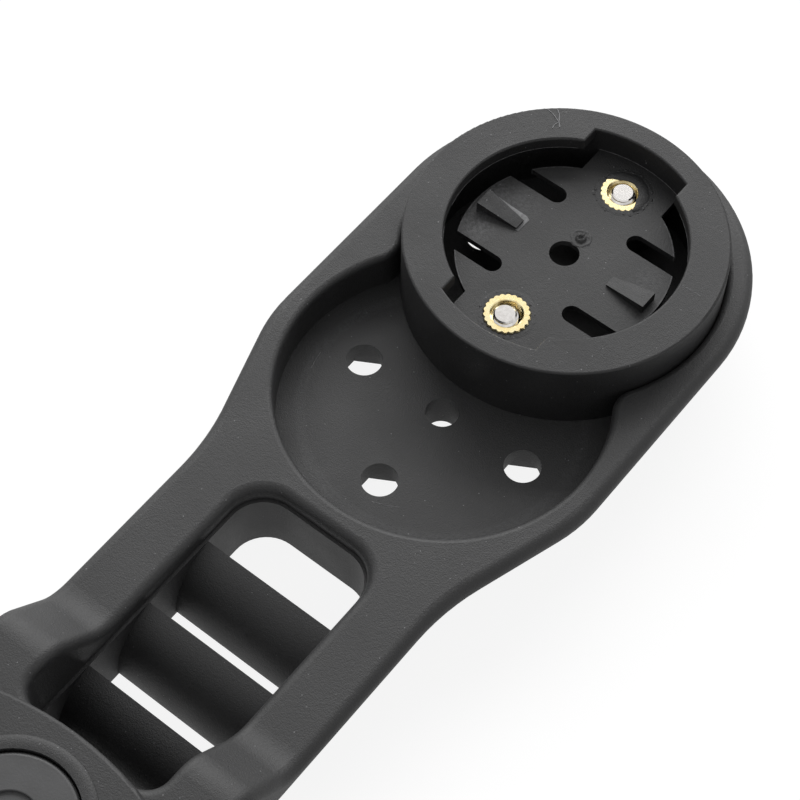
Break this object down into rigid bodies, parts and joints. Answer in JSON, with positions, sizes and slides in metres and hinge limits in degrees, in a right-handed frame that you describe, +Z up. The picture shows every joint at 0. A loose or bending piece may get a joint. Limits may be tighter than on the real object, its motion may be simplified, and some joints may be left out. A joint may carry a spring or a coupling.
{
  "type": "bike computer mount",
  "caption": "Out-front arm for a bike computer, with round screw-on seats in its head, a quarter-turn puck on the far one, a louvred slot and a bolted base.",
  "frame": {"origin": "centre of the near seat, on its floor, in the middle of its ring of screw holes", "axes": "+X along the arm from the bolted base to the tip of the head, +Y to the arm's left, +Z up out of the seats"},
  "size_m": [0.1248, 0.0424, 0.0166],
  "materials": {
    "black_plastic": "fine moulded grain",
    "puck_plastic": "fine moulded grain, a little smoother",
    "brass": "knurled",
    "screw_steel": "bright",
    "bolt_black": "satin"
  },
  "bodies": {
    "root": {"mount_arm": "black_plastic", "puck": "puck_plastic", "near_insert": "brass", "far_insert": "brass", "near_screw": "screw_steel", "far_screw": "screw_steel", "base_bolt": "bolt_black"}
  },
  "joints": []
}
